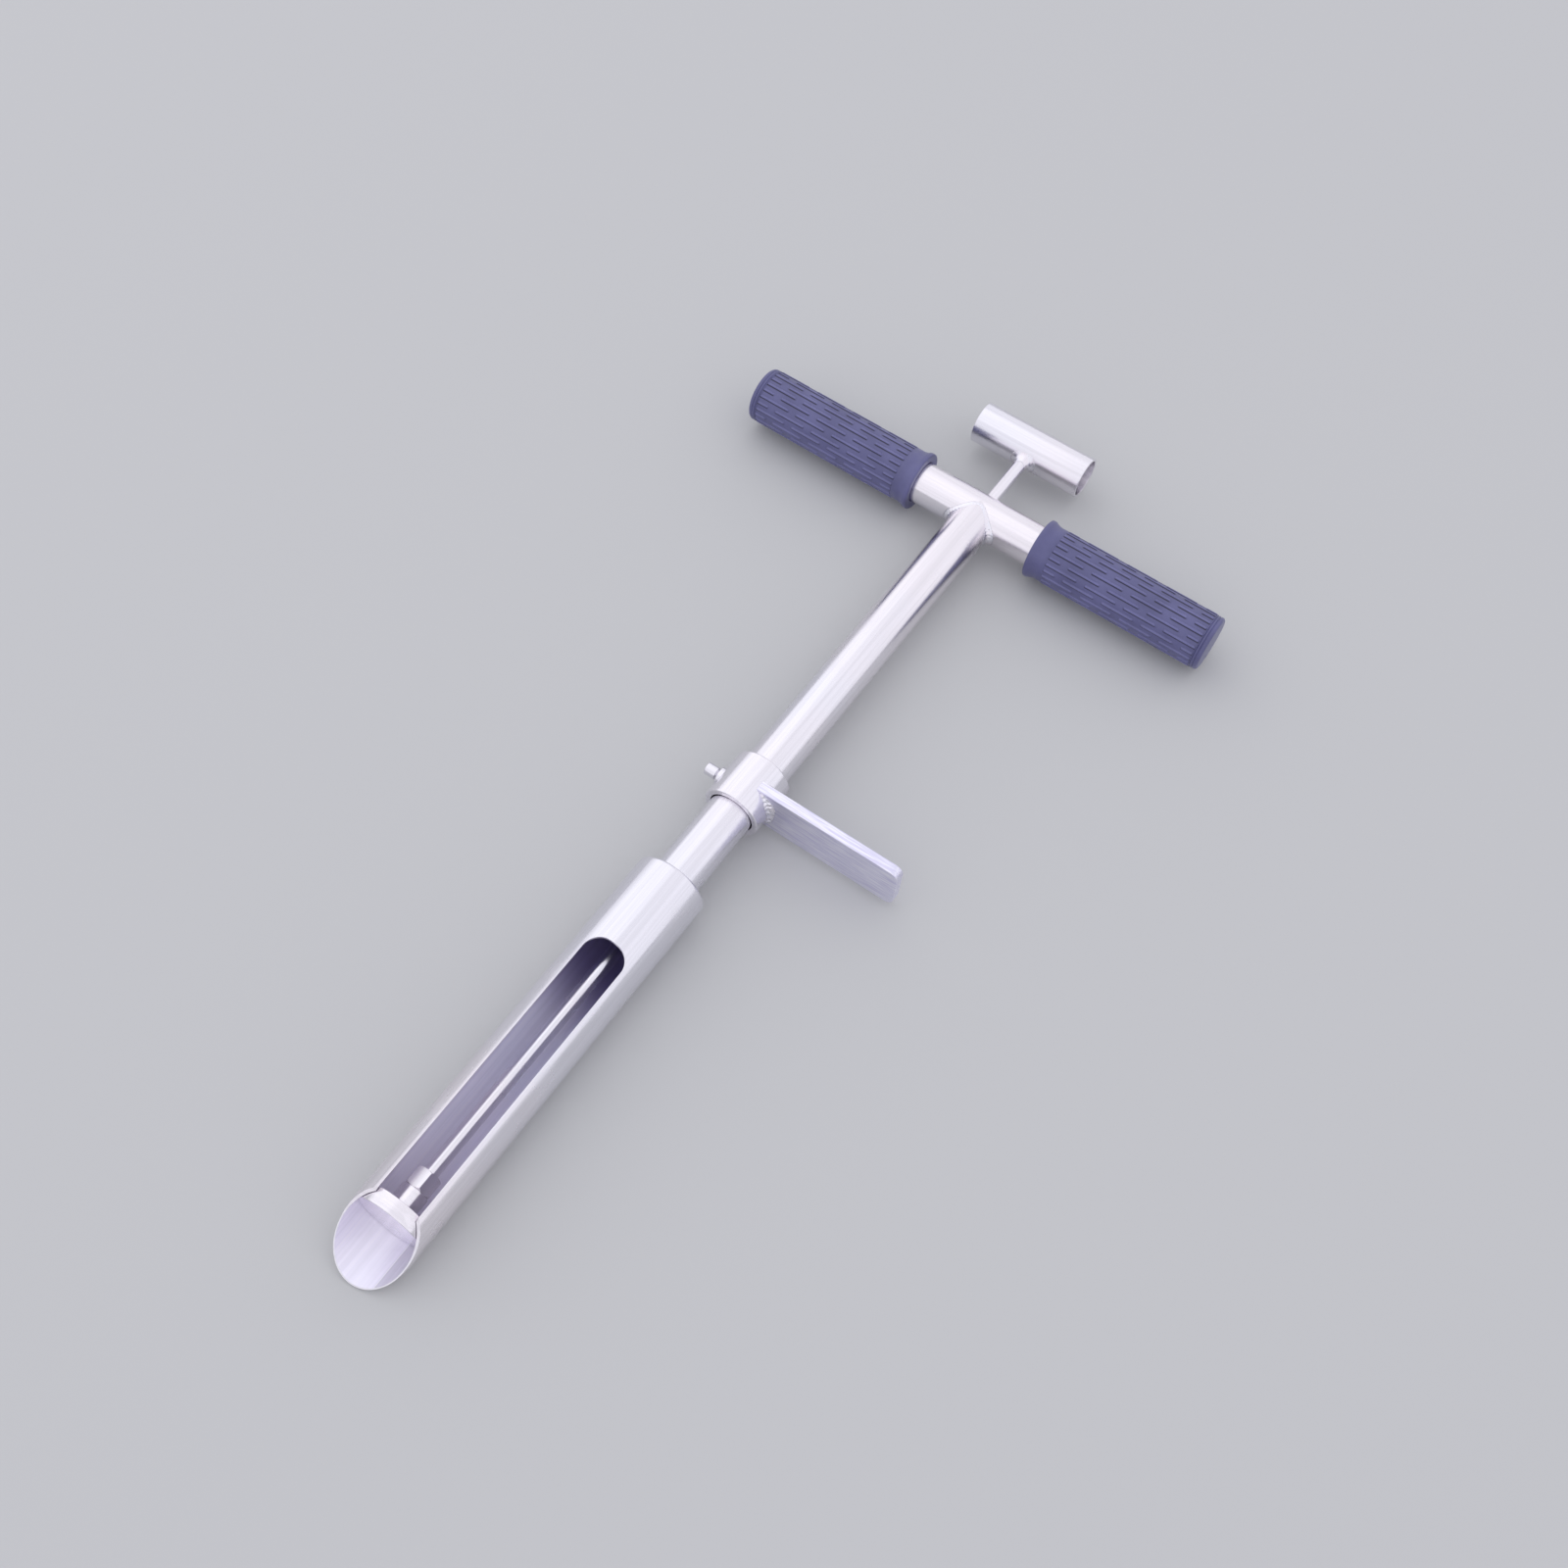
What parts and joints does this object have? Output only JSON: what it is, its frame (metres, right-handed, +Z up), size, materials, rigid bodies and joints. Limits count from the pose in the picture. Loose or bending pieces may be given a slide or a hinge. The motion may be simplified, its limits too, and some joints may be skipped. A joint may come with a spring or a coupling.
{
  "type": "soil sampling probe",
  "caption": "Steel soil sampling probe with an open scoop barrel, a long sample window, a sliding foot step, a cross handle with rubber grips and a push-out ejector rod.",
  "frame": {"origin": "on the ground under the middle of the tool as it lies, halfway along its length and on the shaft's axis seen from above", "axes": "+X along the shaft from the scoop's tip to the pull handle, +Y to the left grip, +Z up out of the open window"},
  "size_m": [0.62, 0.307, 0.04],
  "materials": {
    "bright_steel": "bright satin stainless tube",
    "brushed_bar": "flat bar, brushed along its length",
    "weld_metal": "rippled weld bead, brushed clean",
    "bronze": "machined bronze",
    "grip_rubber": "dark slate moulded rubber"
  },
  "bodies": {
    "frame": {"barrel": "bright_steel", "barrel_cap": "bright_steel", "rod_bush": "bronze", "shaft_tube": "bright_steel", "shaft_weld": "weld_metal", "cross_tube": "bright_steel", "handle_weld": "weld_metal", "grip_left": "grip_rubber", "grip_right": "grip_rubber"},
    "ejector_foot": {"ejector_disc": "bright_steel"},
    "ejector": {"lock_nut": "bright_steel", "ejector_rod": "bright_steel", "ejector_handle": "bright_steel", "ejector_weld": "weld_metal"},
    "foot_step": {"step_collar": "bright_steel", "foot_bar": "brushed_bar", "step_weld_front": "weld_metal", "step_weld_back": "weld_metal", "clamp_boss": "weld_metal"},
    "screw": {"clamp_screw": "bright_steel"}
  },
  "joints": [
    {"name": "ejector_slide", "type": "slide", "parent": "frame", "child": "ejector_foot", "axis": [1, 0, 0], "range_m": [-0.033, 0.173]},
    {"name": "ejector_swivel", "type": "hinge", "parent": "ejector_foot", "child": "ejector", "pos_m": [0.2975, 0, 0.02], "axis": [1, 0, 0], "continuous": true},
    {"name": "foot_step_slide", "type": "slide", "parent": "frame", "child": "foot_step", "axis": [1, 0, 0], "range_m": [-0.0495, 0.2035]},
    {"name": "clamp_screw_turn", "type": "hinge", "parent": "foot_step", "child": "screw", "pos_m": [0, 0.02, 0.02], "axis": [0, 1, 0], "range_deg": [0, 360]}
  ]
}
